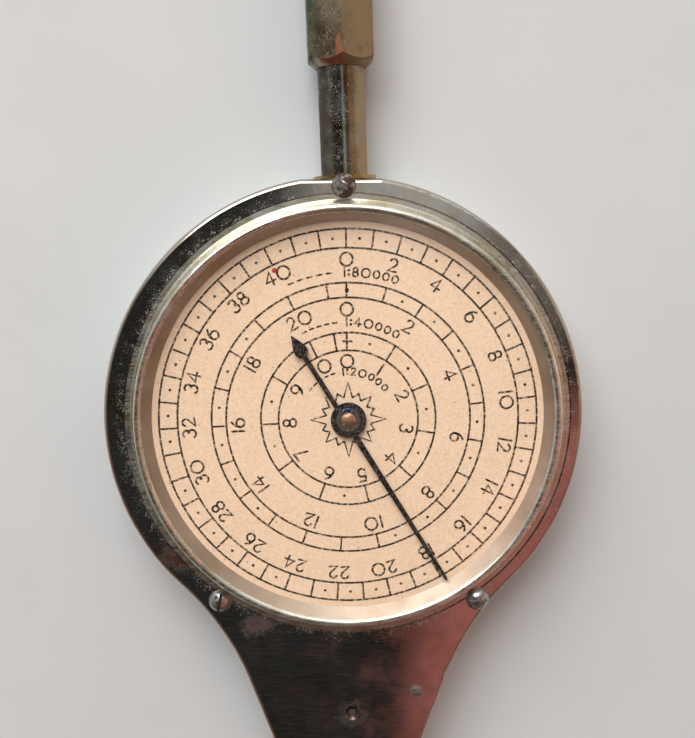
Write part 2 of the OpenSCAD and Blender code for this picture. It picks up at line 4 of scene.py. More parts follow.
import bmesh
import bpy
from mathutils import Euler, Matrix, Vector


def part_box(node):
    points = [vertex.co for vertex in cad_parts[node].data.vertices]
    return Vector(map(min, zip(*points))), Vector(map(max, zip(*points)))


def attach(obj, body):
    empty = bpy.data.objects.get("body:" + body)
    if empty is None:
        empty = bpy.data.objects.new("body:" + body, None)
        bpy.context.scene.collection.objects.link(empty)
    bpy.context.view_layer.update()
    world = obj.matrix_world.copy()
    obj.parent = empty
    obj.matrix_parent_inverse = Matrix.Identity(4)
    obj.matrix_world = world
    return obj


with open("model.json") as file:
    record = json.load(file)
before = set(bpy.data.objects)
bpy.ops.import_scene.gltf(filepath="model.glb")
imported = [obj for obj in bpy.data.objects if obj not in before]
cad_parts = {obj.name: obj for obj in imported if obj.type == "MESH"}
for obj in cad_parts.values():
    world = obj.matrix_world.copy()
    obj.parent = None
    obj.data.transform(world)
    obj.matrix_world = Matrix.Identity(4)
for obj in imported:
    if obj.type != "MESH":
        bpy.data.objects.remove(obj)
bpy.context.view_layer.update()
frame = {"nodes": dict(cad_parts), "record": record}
nodes = frame["nodes"]
mm = 0.001
print("frame loaded:", len(nodes), "nodes")


def toLinear(hexColour):  # sRGB hex such as "e8c9ab" to a linear colour
    parts = [int(hexColour[i:i + 2], 16) / 255 for i in (0, 2, 4)]
    return tuple(c / 12.92 if c <= 0.04045 else ((c + 0.055) / 1.055) ** 2.4 for c in parts) + (1.0,)


def perMm(size):  # texture scale for a feature of that many millimetres
    return 1 / (size * mm)


def addNode(tree, kind, values=None, links=None, **settings):
    made = tree.nodes.new(kind)
    for name, value in settings.items():
        setattr(made, name, value)
    for name, value in (values or {}).items():
        made.inputs[name].default_value = value
    for name, source in (links or {}).items():
        tree.links.new(source, made.inputs[name])
    return made


def newMaterial(name):  # an empty material, its tree and the place on the piece
    made = bpy.data.materials.new(name)
    made.use_nodes = True
    tree = made.node_tree
    tree.nodes.clear()
    where = addNode(tree, "ShaderNodeTexCoord")
    return made, tree, where.outputs["Object"]


def addPiece(name, mesh, paint):
    piece = bpy.data.objects.new(name, mesh)
    bpy.context.scene.collection.objects.link(piece)
    mesh.materials.append(paint)
    return piece


view = {  # mm and degrees, from a fit to the printed rings
    "at": (-1.374, 16.034, 89.385),
    "turn": (-7.785, -1.037, -0.73),
    "lens": 44.08,
    "near": 2,  # the camera stands close
}
camera = bpy.data.objects.new("camera", bpy.data.cameras.new("camera"))
bpy.context.scene.collection.objects.link(camera)
camera.location = Vector(view["at"]) * mm
camera.rotation_euler = Euler([math.radians(a) for a in view["turn"]])
camera.data.lens = view["lens"]
camera.data.clip_start = view["near"] * mm
bpy.context.scene.camera = camera
bpy.context.scene.view_settings.view_transform = "Standard"

floorLook = {  # size in metres, drop and mottle in mm
    "size": 3.0, "drop": 0.01, "mottle": 14, "colour": "e4e9ea", "shade": "dbe0e2",
}


def layFloor(look):
    paint, tree, spot = newMaterial("matt backing card")
    mottle = addNode(tree, "ShaderNodeTexNoise", {"Scale": perMm(look["mottle"]), "Detail": 3.0}, {"Vector": spot})
    tone = addNode(tree, "ShaderNodeMix", {6: toLinear(look["shade"]), 7: toLinear(look["colour"])},
                   {0: mottle.outputs["Fac"]}, data_type="RGBA")
    card = addNode(tree, "ShaderNodeBsdfPrincipled", {"Roughness": 0.9, "Specular IOR Level": 0.2},
                   {"Base Color": tone.outputs[2]})
    addNode(tree, "ShaderNodeOutputMaterial", links={"Surface": card.outputs[0]})

    half = look["size"] / 2
    z = -look["drop"] * mm
    corners = [(-half, -half, z), (half, -half, z), (half, half, z), (-half, half, z)]
    mesh = bpy.data.meshes.new("floor")
    mesh.from_pydata(corners, [], [(0, 1, 2, 3)])
    addPiece("floor", mesh, paint)


layFloor(floorLook)

softbox = {"at": (-150, 430, 400), "size": 460, "watts": 3.1, "colour": "ffffff"}  # mm
lamp = bpy.data.objects.new("softbox", bpy.data.lights.new("softbox", "AREA"))
bpy.context.scene.collection.objects.link(lamp)
lamp.location = Vector(softbox["at"]) * mm
lamp.rotation_euler = (-lamp.location).to_track_quat("-Z", "Y").to_euler()
lamp.data.size = softbox["size"] * mm
lamp.data.energy = softbox["watts"]
lamp.data.color = toLinear(softbox["colour"])[:3]

# The room as the polished metal sees it: bright behind the handle, brown and tan walls,
# dark above, a warm red area to the lower right and a small light one overhead.
room = {
    "wall": "62594f", "strength": 1.0, "backdrop": "dcdad6",
    "patches": [  # direction, full inside and gone outside (degrees), colour
        ((-1.0, 0.1, 0.12), 8, 30, "b4b0a8"),
        ((1.0, 0.0, 0.8), 14, 28, "c8a07a"),
        ((1.0, 0.2, 0.12), 10, 26, "cfcbc4"),
        ((-0.1, 1.0, 0.30), 36, 61, "fbf8f2"),
        ((-0.10, -0.40, 1.0), 24, 40, "2b2b2b"),
        ((-0.42, 0.1, 1.0), 16, 26, "292a28"),
        ((0.16, 0.0, 1.0), 4, 10, "807a74"),
        ((0.62, -0.62, 1.0), 22.5, 25, "b86e66"),
        ((0.08, 0.10, 1.0), 4, 8, "cac8c5"),
    ],
}


def lightRoom(look):
    world = bpy.data.worlds.new("room")
    bpy.context.scene.world = world
    world.use_nodes = True
    tree = world.node_tree
    tree.nodes.clear()
    where = addNode(tree, "ShaderNodeTexCoord")
    colour = None
    for direction, inner, outer, patch in look["patches"]:
        aim = addNode(tree, "ShaderNodeVectorMath", {1: Vector(direction).normalized()},
                      {0: where.outputs["Generated"]}, operation="DOT_PRODUCT")
        fade = addNode(tree, "ShaderNodeMapRange",
                       {"From Min": math.cos(math.radians(outer)), "From Max": math.cos(math.radians(inner))},
                       {"Value": aim.outputs["Value"]}, interpolation_type="SMOOTHSTEP")
        mixed = addNode(tree, "ShaderNodeMix", {6: toLinear(look["wall"]), 7: toLinear(patch)},
                        {0: fade.outputs[0]}, data_type="RGBA")
        if colour:  # the first patch lies on the wall, the others on what is there
            tree.links.new(colour, mixed.inputs[6])
        colour = mixed.outputs[2]
    seen = addNode(tree, "ShaderNodeLightPath")
    backdrop = addNode(tree, "ShaderNodeMix", {7: toLinear(look["backdrop"])},
                       {0: seen.outputs["Is Camera Ray"], 6: colour}, data_type="RGBA")
    glow = addNode(tree, "ShaderNodeBackground", {"Strength": look["strength"]},
                   {"Color": backdrop.outputs[2]})
    addNode(tree, "ShaderNodeOutputWorld", links={"Surface": glow.outputs[0]})


lightRoom(room)
print("camera, floor and light are set")


# How the plate wears. Noise runs from about 0.3 to 0.7, and each band is the part of it that shows.
plateWear = {
    "smudgeBand": (0.35, 0.7), "tarnishBand": (0.38, 0.66), "rubBand": (0.3, 0.55),
    "keptUp": 9, "rubbedDown": -9, "keptShare": 0.15,   # mm from the hand's axis, share left at the handle
    "clusterBand": (0.34, 0.58), "frostBand": (0.7, 0.76), "crustShare": 0.85,
    "ragged": 1.6, "blotchBand": (2.7, 2.0), "soak": 2.5,
    "filmBand": (0.4, 0.75), "bareLoss": 0.75, "dulling": 0.4,
    "crustHeight": -0.6, "bumpHeight": 0.004,
}


def makePlate(name, look):
    wear = plateWear
    paint, tree, spot = newMaterial(name)
    face = addNode(tree, "ShaderNodeNewGeometry")
    upright = addNode(tree, "ShaderNodeSeparateXYZ", links={0: face.outputs["Normal"]})
    place = addNode(tree, "ShaderNodeSeparateXYZ", links={0: spot})

    smudge = addNode(tree, "ShaderNodeTexNoise",
                     {"Scale": perMm(look["smudge"]), "Detail": 5.0, "Roughness": 0.6}, {"Vector": spot})
    rough = addNode(tree, "ShaderNodeMapRange",
                    {"From Min": wear["smudgeBand"][0], "From Max": wear["smudgeBand"][1],
                     "To Min": look["shine"][0], "To Max": look["shine"][1]}, {"Value": smudge.outputs["Fac"]})
    tarnish = addNode(tree, "ShaderNodeTexNoise", {"Scale": perMm(look["tarnish"]), "Detail": 3.0},
                      {"Vector": spot})
    tarnished = addNode(tree, "ShaderNodeMapRange",
                        {"From Min": wear["tarnishBand"][0], "From Max": wear["tarnishBand"][1]},
                        {"Value": tarnish.outputs["Fac"]})
    plate = addNode(tree, "ShaderNodeMix", {6: toLinear(look["plate"]), 7: toLinear(look["yellowed"])},
                    {0: tarnished.outputs[0]}, data_type="RGBA")

    # plating rubbed off where the rounded edge turns to the side, more towards the tail
    turnIn = addNode(tree, "ShaderNodeMapRange", {"From Min": look["edge"][0], "From Max": look["edge"][1]},
                     {"Value": upright.outputs["Z"]})
    turnOut = addNode(tree, "ShaderNodeMapRange", {"From Min": look["edge"][3], "From Max": look["edge"][2]},
                      {"Value": upright.outputs["Z"]})
    rubbed = addNode(tree, "ShaderNodeMath", links={0: turnIn.outputs[0], 1: turnOut.outputs[0]},
                     operation="MULTIPLY")
    tailward = addNode(tree, "ShaderNodeMapRange",
                       {"From Min": wear["keptUp"] * mm, "From Max": wear["rubbedDown"] * mm,
                        "To Min": wear["keptShare"]}, {"Value": place.outputs["Y"]})
    rubNoise = addNode(tree, "ShaderNodeTexNoise", {"Scale": perMm(look["rub"]), "Detail": 4.0},
                       {"Vector": spot})
    rubAmount = addNode(tree, "ShaderNodeMapRange",
                        {"From Min": wear["rubBand"][0], "From Max": wear["rubBand"][1],
                         "To Min": look["worn"] / 2, "To Max": look["worn"]}, {"Value": rubNoise.outputs["Fac"]})
    rubbed = addNode(tree, "ShaderNodeMath", links={0: rubbed.outputs[0], 1: tailward.outputs[0]},
                     operation="MULTIPLY")
    rubbed = addNode(tree, "ShaderNodeMath", links={0: rubbed.outputs[0], 1: rubAmount.outputs[0]},
                     operation="MULTIPLY")
    colour = addNode(tree, "ShaderNodeMix", {7: toLinear(look["under"])},
                     {0: rubbed.outputs[0], 6: plate.outputs[2]}, data_type="RGBA").outputs[2]

    # corrosion frost: fine grey specks in clusters, dense beside the bezel
    reach = addNode(tree, "ShaderNodeVectorMath", {1: (1, 1, 0)}, {0: spot}, operation="MULTIPLY")
    reach = addNode(tree, "ShaderNodeVectorMath", links={0: reach.outputs[0]}, operation="LENGTH")
    near = addNode(tree, "ShaderNodeMapRange",
                   {"From Min": look["frostFar"] * mm, "From Max": look["frostNear"] * mm},
                   {"Value": reach.outputs["Value"]})
    cluster = addNode(tree, "ShaderNodeTexNoise", {"Scale": perMm(look["cluster"]), "Detail": 4.0},
                      {"Vector": spot})
    clustered = addNode(tree, "ShaderNodeMapRange",
                        {"From Min": wear["clusterBand"][0], "From Max": wear["clusterBand"][1],
                         "To Max": look["frost"]}, {"Value": cluster.outputs["Fac"]})
    crowd = addNode(tree, "ShaderNodeMath", links={0: near.outputs[0], 1: clustered.outputs[0]},
                    operation="MULTIPLY")
    speck = addNode(tree, "ShaderNodeTexNoise", {"Scale": perMm(look["speck"]), "Detail": 3.0, "Roughness": 0.7},
                    {"Vector": spot})
    raised = addNode(tree, "ShaderNodeMath", links={0: speck.outputs["Fac"], 1: crowd.outputs[0]},
                     operation="ADD")
    frosted = addNode(tree, "ShaderNodeMapRange",
                      {"From Min": wear["frostBand"][0], "From Max": wear["frostBand"][1],
                       "To Max": wear["crustShare"]}, {"Value": raised.outputs[0]})
    colour = addNode(tree, "ShaderNodeMix", {7: toLinear(look["crust"])},
                     {0: frosted.outputs[0], 6: colour}, data_type="RGBA").outputs[2]
    dull = frosted.outputs[0]

    # stains with ragged edges (grime, rust, a green patch) and painted reflections (the stem's two stripes, the
    # hexagon's tan flat); the colour reaches further than the dullness
    for centre, size, blotchTone in look["stainsAndPaintedReflections"]:
        away = addNode(tree, "ShaderNodeVectorMath", {1: [c * mm for c in centre]}, {0: spot},
                       operation="SUBTRACT")
        away = addNode(tree, "ShaderNodeVectorMath", {1: [perMm(c) for c in size]}, {0: away.outputs[0]},
                       operation="MULTIPLY")
        away = addNode(tree, "ShaderNodeVectorMath", links={0: away.outputs[0]}, operation="LENGTH")
        ragged = away.outputs["Value"]
        for noise in (cluster, speck):
            ragged = addNode(tree, "ShaderNodeMath", {1: wear["ragged"]}, {0: noise.outputs["Fac"], 2: ragged},
                             operation="MULTIPLY_ADD").outputs[0]
        inside = addNode(tree, "ShaderNodeMapRange",
                         {"From Min": wear["blotchBand"][0], "From Max": wear["blotchBand"][1]}, {"Value": ragged})
        soaked = addNode(tree, "ShaderNodeMath", {1: wear["soak"]}, {0: inside.outputs[0]}, operation="POWER")
        colour = addNode(tree, "ShaderNodeMix", {7: toLinear(blotchTone)},
                         {0: inside.outputs[0], 6: colour}, data_type="RGBA").outputs[2]
        dull = addNode(tree, "ShaderNodeMath", links={0: soaked.outputs[0], 1: dull},
                       operation="MAXIMUM").outputs[0]

    # wiping marks: a thin streaky film, drawn coarser than real so that it shows
    lean = addNode(tree, "ShaderNodeMapping", {"Scale": look["wipe"]}, {"Vector": spot})
    streak = addNode(tree, "ShaderNodeTexNoise", {"Scale": perMm(look["scratch"]), "Detail": 3.0},
                     {"Vector": lean.outputs[0]})
    film = addNode(tree, "ShaderNodeMapRange",
                   {"From Min": wear["filmBand"][0], "From Max": wear["filmBand"][1], "To Max": look["film"]},
                   {"Value": streak.outputs["Fac"]})
    covered = addNode(tree, "ShaderNodeMath", {1: wear["bareLoss"]}, {0: dull, 2: film.outputs[0]},
                      operation="MULTIPLY_ADD", use_clamp=True)
    metallic = addNode(tree, "ShaderNodeMath", {0: 1.0}, {1: covered.outputs[0]}, operation="SUBTRACT")
    roughened = addNode(tree, "ShaderNodeMath", {1: wear["dulling"]}, {0: dull, 2: rough.outputs[0]},
                        operation="MULTIPLY_ADD")

    # shallow dents, streaks and crust catch the light
    dent = addNode(tree, "ShaderNodeTexNoise", {"Scale": perMm(look["dent"]), "Detail": 1.0}, {"Vector": spot})
    relief = addNode(tree, "ShaderNodeMath", {1: look["dentShare"]},
                     {0: dent.outputs["Fac"], 2: streak.outputs["Fac"]}, operation="MULTIPLY_ADD")
    relief = addNode(tree, "ShaderNodeMath", {1: wear["crustHeight"]},
                     {0: frosted.outputs[0], 2: relief.outputs[0]}, operation="MULTIPLY_ADD")
    bump = addNode(tree, "ShaderNodeBump", {"Strength": look["relief"], "Distance": wear["bumpHeight"] * mm},
                   {"Height": relief.outputs[0]})
    metal = addNode(tree, "ShaderNodeBsdfPrincipled", {},
                    {"Base Color": colour, "Metallic": metallic.outputs[0],
                     "Roughness": roughened.outputs[0], "Normal": bump.outputs[0]})
    addNode(tree, "ShaderNodeOutputMaterial", links={"Surface": metal.outputs[0]})
    return paint


# Nickel plate on brass, polished: a dark mirror with grey corrosion frost, copper showing at the edges.
# Sizes and places in mm; frost gathers from frostFar to frostNear off the hand's axis.
casePlate = {
    "plate": "c6c4be", "yellowed": "b6aea0", "under": "b8704c", "crust": "b0aea6",
    "shine": (0.06, 0.2), "smudge": 2.6, "tarnish": 6.0,
    "rub": 1.8, "worn": 1.0, "edge": (0.1, 0.3, 0.7, 0.9),
    "speck": 0.12, "cluster": 0.9, "frostFar": 22.4, "frostNear": 20.6, "frost": 0.2,
    "scratch": 0.18, "wipe": (0.1, 1, 1), "film": 0.03,
    "dent": 4.0, "dentShare": 4.0, "relief": 0.2,
    "stainsAndPaintedReflections": [  # middle, size, colour
        ((0, -29.0, 6.8), (1.5, 1.5, 1.2), "1c1a17"),
        ((0, -35.46, 6.8), (1.5, 1.5, 1.2), "1c1a17"),
        ((-16.3, -13.1, 7.0), (1.9, 1.5, 0.8), "4a2c22"),
        ((-9.0, -19.8, 7.0), (1.8, 1.3, 0.8), "5e4a47"),
    ],
}
# The same plate on the spun bezel, yellowed by age: cream in the slopes, bright on the crest.
bezelPlate = dict(
    casePlate, plate="ecebe4", yellowed="ddd5ba", under="9a8560", crust="8b8678",
    shine=(0.2, 0.34), tarnish=1.6, worn=0.3, edge=(0.1, 0.2, 0.3, 0.5),
    frostFar=24.0, frostNear=21.0, frost=0.13, film=0.25, dentShare=1.0, stainsAndPaintedReflections=[])
# Nickel on the inner cone, satin with age; its brown-peach colour is a painted reflection of the paper.
ringPlatePaintedReflection = dict(
    casePlate, plate="b4a294", yellowed="a38c78", shine=(0.46, 0.6), worn=0.0,
    frost=0.08, film=0.1, dentShare=2.0, relief=0.12, stainsAndPaintedReflections=[])
# Plated stem: dulled along its length, with fine specks; the tan stripe to the right and the dark one to the left are
# painted reflections.
stemPlatePaintedReflections = dict(
    casePlate, plate="a19d94", yellowed="786d5a", under="6f6048", shine=(0.1, 0.28), tarnish=2.4, worn=0.4,
    frostFar=90.0, frostNear=60.0, frost=0.14, wipe=(1, 0.06, 1), film=0.08, dentShare=1.0, relief=0.3,
    stainsAndPaintedReflections=[
        # painted reflections: a tan stripe along the right side and a dark one along the left
        ((1.8, 27.0, 4.6), (0.9, 16.0, 3.0), "a48c68"),
        ((-1.95, 27.0, 4.6), (1.0, 16.0, 3.0), "3c342c"),
    ])
# Plated hexagon rod: scratched flats, rust at the near corner, green along the left flat, and a tan right flat that
# is a painted reflection.
handlePlatePaintedReflection = dict(
    stemPlatePaintedReflections, plate="9c917c", yellowed="77684f", crust="a59c8c", shine=(0.2, 0.4), film=0.14, relief=0.4,
    stainsAndPaintedReflections=[
        ((-0.35, 33.0, 6.5), (0.5, 1.9, 1.2), "9a4c28"),
        ((-0.6, 32.35, 5.9), (1.9, 0.45, 1.6), "864526"),
        ((-3.3, 44.0, 5.0), (1.0, 26.0, 4.0), "2c4629"),
        # the right flat's tan is a painted reflection
        ((1.75, 44.0, 5.6), (2.6, 26.0, 4.0), "927c5a"),
    ])


# Dust on bare metal, as small as shows at all, and the height of its grain in mm.
metalWear = {"dust": "a0907e", "dustSize": 0.09, "dustBand": (0.53, 0.66), "bumpHeight": 0.006}


def makeMetal(name, look):
    wear = metalWear
    paint, tree, spot = newMaterial(name)
    place = addNode(tree, "ShaderNodeSeparateXYZ", links={0: spot})

    # clouds of age, thicker towards one end: rust on the screw by the handle, but painted shade towards the tail on
    # the collet and the rivet
    cloud = addNode(tree, "ShaderNodeTexNoise", {"Scale": perMm(look["cloud"]), "Detail": 5.0}, {"Vector": spot})
    start, end, share = look["ageAndShadeRamp"]
    agedAndShaded = addNode(tree, "ShaderNodeMapRange", {"From Min": start * mm, "From Max": end * mm, "To Max": share},
                        {"Value": place.outputs["Y"]})
    clouded = addNode(tree, "ShaderNodeMath", links={0: cloud.outputs["Fac"], 1: agedAndShaded.outputs[0]},
                      operation="ADD")
    blend = addNode(tree, "ShaderNodeMapRange", {"From Min": look["spread"][0], "From Max": look["spread"][1]},
                    {"Value": clouded.outputs[0]})
    tone = addNode(tree, "ShaderNodeMix", {6: toLinear(look["metal"]), 7: toLinear(look["aged"])},
                   {0: blend.outputs[0]}, data_type="RGBA")

    grit = addNode(tree, "ShaderNodeTexNoise", {"Scale": perMm(wear["dustSize"]), "Detail": 2.0, "Roughness": 0.7},
                   {"Vector": spot})
    dusty = addNode(tree, "ShaderNodeMapRange",
                    {"From Min": wear["dustBand"][0], "From Max": wear["dustBand"][1], "To Max": look["dust"]},
                    {"Value": grit.outputs["Fac"]})
    tone = addNode(tree, "ShaderNodeMix", {7: toLinear(wear["dust"])}, {0: dusty.outputs[0], 6: tone.outputs[2]},
                   data_type="RGBA")
    metallic = addNode(tree, "ShaderNodeMapRange", {"To Min": 1.0, "To Max": look["bare"]},
                       {"Value": blend.outputs[0]})
    metallic = addNode(tree, "ShaderNodeMath", links={0: metallic.outputs[0], 1: dusty.outputs[0]},
                       operation="SUBTRACT", use_clamp=True)
    rough = addNode(tree, "ShaderNodeMapRange", {"To Min": look["shine"][0], "To Max": look["shine"][1]},
                    {"Value": blend.outputs[0]})

    lean = addNode(tree, "ShaderNodeMapping", {"Scale": look["stretch"]}, {"Vector": spot})
    grain = addNode(tree, "ShaderNodeTexNoise", {"Scale": perMm(look["grain"]), "Detail": 3.0},
                    {"Vector": lean.outputs[0]})
    bump = addNode(tree, "ShaderNodeBump", {"Strength": look["relief"], "Distance": wear["bumpHeight"] * mm},
                   {"Height": grain.outputs["Fac"]})
    metal = addNode(tree, "ShaderNodeBsdfPrincipled", {},
                    {"Base Color": tone.outputs[2], "Metallic": metallic.outputs[0],
                     "Roughness": rough.outputs[0], "Normal": bump.outputs[0]})
    addNode(tree, "ShaderNodeOutputMaterial", links={"Surface": metal.outputs[0]})
    return paint


# Turned steel screws, once bright: grey domes, the one by the handle brown with rust.
screwSteel = {
    "metal": "b4b3b3", "aged": "4a3529", "cloud": 0.9, "spread": (0.55, 0.68), "bare": 0.3,
    "shine": (0.25, 0.7), "grain": 0.12, "stretch": (1, 1, 1), "relief": 0.5,
    "ageAndShadeRamp": (10, 18, 0.13), "dust": 0.15,
}
# Oil-blackened steel hand: nearly black, satin, with brown dust.
handSteel = dict(
    screwSteel, metal="212023", aged="54473f", cloud=0.3, spread=(0.46, 0.66), bare=0.4,
    shine=(0.32, 0.6), relief=0.6, ageAndShadeRamp=(0, 1, 0), dust=0.55)
# Heat-blued steel collet: its blue crescent towards the handle is a painted highlight and the brown over the rest is
# painted shade, with brown dust specks as well.
colletSteelPaintedHighlightAndShade = dict(
    screwSteel, metal="3c6096", aged="4a403b", cloud=0.35, spread=(0.48, 0.66), bare=0.5,
    shine=(0.14, 0.5), grain=0.14, ageAndShadeRamp=(0.95, 0.35, 0.3), dust=0.6)
# Copper-rich brass, riveted over: a warm bright dome, duller and browner on the tail's side as painted shade.
copperRivetPaintedShade = dict(
    screwSteel, metal="dca884", aged="74584a", cloud=0.4, spread=(0.5, 0.7), bare=0.7,
    shine=(0.3, 0.5), grain=0.1, relief=0.2, ageAndShadeRamp=(0.2, -0.6, 0.3), dust=0.25)
# Stamped and turned brass: yellow with brown tarnish clouds.
plainBrass = dict(
    screwSteel, metal="b59c70", aged="7e6845", cloud=1.6, spread=(0.4, 0.75), bare=1.0,
    shine=(0.22, 0.42), grain=0.1, relief=0.25, ageAndShadeRamp=(0, 1, 0), dust=0.2)
# Hammered rivet ends: dull grey steel.
rivetSteel = dict(
    screwSteel, metal="aaa6a1", aged="6a625c", cloud=0.5, spread=(0.35, 0.6), bare=0.35,
    shine=(0.35, 0.6), grain=0.1, ageAndShadeRamp=(0, 1, 0), dust=0.2)
# Turned arbors: darker steel with fine rings from the tool.
arborSteel = dict(
    rivetSteel, metal="7e7c79", aged="5c5a57", shine=(0.3, 0.45), stretch=(0.1, 0.1, 1), relief=0.3)
# Milled wheel: brighter steel, browned in clouds.
wheelSteel = dict(rivetSteel, metal="b0aea9", aged="7c756a", cloud=1.5, shine=(0.22, 0.4), relief=0.3)


def makePaper(name, look):
    paint, tree, spot = newMaterial(name)
    cloud = addNode(tree, "ShaderNodeTexNoise", {"Scale": perMm(look["cloud"]), "Detail": 6.0}, {"Vector": spot})
    tone = addNode(tree, "ShaderNodeMix", {6: toLinear(look["paper"]), 7: toLinear(look["aged"])},
                   {0: cloud.outputs["Fac"]}, data_type="RGBA")
    fibre = addNode(tree, "ShaderNodeTexNoise", {"Scale": perMm(look["fibre"]), "Detail": 4.0, "Distortion": 1.5},
                    {"Vector": spot})
    tooth = addNode(tree, "ShaderNodeMapRange",
                    {"From Min": look["toothBand"][0], "From Max": look["toothBand"][1],
                     "To Max": look["toothShare"]}, {"Value": fibre.outputs["Fac"]})
    toned = addNode(tree, "ShaderNodeMix", {7: toLinear(look["fibreTone"])},
                    {0: tooth.outputs[0], 6: tone.outputs[2]}, data_type="RGBA")

    # a dark speck in the middle of a few cells
    cells = addNode(tree, "ShaderNodeTexVoronoi", {"Scale": perMm(look["speck"])}, {"Vector": spot})
    lot = addNode(tree, "ShaderNodeSeparateColor", links={0: cells.outputs["Color"]})
    few = addNode(tree, "ShaderNodeMath", {1: look["speckShare"]}, {0: lot.outputs[0]}, operation="LESS_THAN")
    small = addNode(tree, "ShaderNodeMapRange",
                    {"From Min": look["speckSize"][0], "From Max": look["speckSize"][1],
                     "To Max": look["speckDepth"]}, {"Value": cells.outputs["Distance"]})
    specked = addNode(tree, "ShaderNodeMath", links={0: few.outputs[0], 1: small.outputs[0]}, operation="MULTIPLY")
    final = addNode(tree, "ShaderNodeMix", {7: toLinear(look["speckTone"])},
                    {0: specked.outputs[0], 6: toned.outputs[2]}, data_type="RGBA")
    bump = addNode(tree, "ShaderNodeBump", {"Strength": look["relief"], "Distance": look["bumpHeight"] * mm},
                   {"Height": fibre.outputs["Fac"]})
    sheet = addNode(tree, "ShaderNodeBsdfPrincipled", {"Roughness": 0.85, "Specular IOR Level": 0.2},
                    {"Base Color": final.outputs[2], "Normal": bump.outputs[0]})
    addNode(tree, "ShaderNodeOutputMaterial", links={"Surface": sheet.outputs[0]})
    return paint


# Uncoated printing paper, aged to peach: a pinkish brown grain, drawn coarser than real, and a few specks.
agedPaper = {
    "paper": "f0d1b6", "aged": "ebc8aa", "cloud": 5.0,
    "fibre": 0.2, "toothBand": (0.44, 0.66), "toothShare": 0.42, "fibreTone": "c0937a",
    "speck": 0.7, "speckShare": 0.16, "speckSize": (0.13, 0.07), "speckDepth": 0.8, "speckTone": "7c4c36",
    "relief": 0.25, "bumpHeight": 0.01,
}


def makeInk(name, look):
    paint, tree, spot = newMaterial(name)
    broken = addNode(tree, "ShaderNodeTexNoise", {"Scale": perMm(look["broken"]), "Detail": 3.0}, {"Vector": spot})
    gap = addNode(tree, "ShaderNodeMapRange",
                  {"From Min": look["gapBand"][0], "From Max": look["gapBand"][1], "To Max": look["gapShare"]},
                  {"Value": broken.outputs["Fac"]})
    tone = addNode(tree, "ShaderNodeMix", {6: toLinear(look["ink"]), 7: toLinear(look["paper"])},
                   {0: gap.outputs[0]}, data_type="RGBA")
    film = addNode(tree, "ShaderNodeBsdfPrincipled", {"Roughness": 0.7, "Specular IOR Level": 0.25},
                   {"Base Color": tone.outputs[2]})
    addNode(tree, "ShaderNodeOutputMaterial", links={"Surface": film.outputs[0]})
    return paint


# Printer's black, browned: thin lines that break up where the paper's tooth took no ink.
blackInk = {"ink": "2b211b", "paper": "d9b998", "broken": 0.28, "gapBand": (0.5, 0.62), "gapShare": 0.62}
# Red pencil: a soft dot that leaves the paper's tooth bare.
redInk = {"ink": "b8322c", "paper": "cc7a62", "broken": 0.2, "gapBand": (0.5, 0.62), "gapShare": 0.6}


def makeGlass(name, look):
    paint, tree, spot = newMaterial(name)
    dust = addNode(tree, "ShaderNodeTexNoise", {"Scale": perMm(look["dust"]), "Detail": 4.0}, {"Vector": spot})
    haze = addNode(tree, "ShaderNodeMapRange",
                   {"From Min": look["dustBand"][0], "From Max": look["dustBand"][1],
                    "To Min": look["shine"][0], "To Max": look["shine"][1]}, {"Value": dust.outputs["Fac"]})
    body = addNode(tree, "ShaderNodeBsdfPrincipled",
                   {"Base Color": toLinear(look["tint"]), "IOR": 1.5, "Transmission Weight": 1.0},
                   {"Roughness": haze.outputs[0]})
    clear = addNode(tree, "ShaderNodeBsdfTransparent", {"Color": toLinear(look["tint"])})
    ray = addNode(tree, "ShaderNodeLightPath")
    both = addNode(tree, "ShaderNodeMixShader", {},
                   {0: ray.outputs["Is Shadow Ray"], 1: body.outputs[0], 2: clear.outputs[0]})
    addNode(tree, "ShaderNodeOutputMaterial", links={"Surface": both.outputs[0]})
    return paint


# Cut sheet glass: clear, with a breath of dust.
watchGlass = {"tint": "fbfdfc", "dust": 0.3, "dustBand": (0.62, 0.8), "shine": (0.0, 0.06)}

finishes = {
    "case_plate": makePlate("polished nickel plate on brass", casePlate),
    "bezel_plate": makePlate("spun nickel plate, yellowed", bezelPlate),
    "ring_plate": makePlate("nickel cone with painted paper reflection", ringPlatePaintedReflection),
    "stem_plate": makePlate("plated round rod with painted reflections", stemPlatePaintedReflections),
    "handle_plate": makePlate("plated hexagon rod with painted reflection", handlePlatePaintedReflection),
    "crystal_glass": makeGlass("cut sheet glass", watchGlass),
    "dial_paper": makePaper("aged printing paper", agedPaper),
    "brass": makeMetal("turned brass", plainBrass),
    "copper_rivet": makeMetal("riveted copper brass with painted shade", copperRivetPaintedShade),
    "hand_steel": makeMetal("oil blackened steel", handSteel),
    "collet_steel": makeMetal("heat blued steel with painted highlight and shade", colletSteelPaintedHighlightAndShade),
    "screw_steel": makeMetal("turned steel, rusting", screwSteel),
    "rivet_steel": makeMetal("hammered steel", rivetSteel),
    "arbor_steel": makeMetal("turned steel", arborSteel),
    "wheel_steel": makeMetal("milled steel", wheelSteel),
}
for part in frame["record"]["subparts"]:
    for place in nodes[part["node"]].material_slots:
        place.material = finishes[part["material_slot"]]


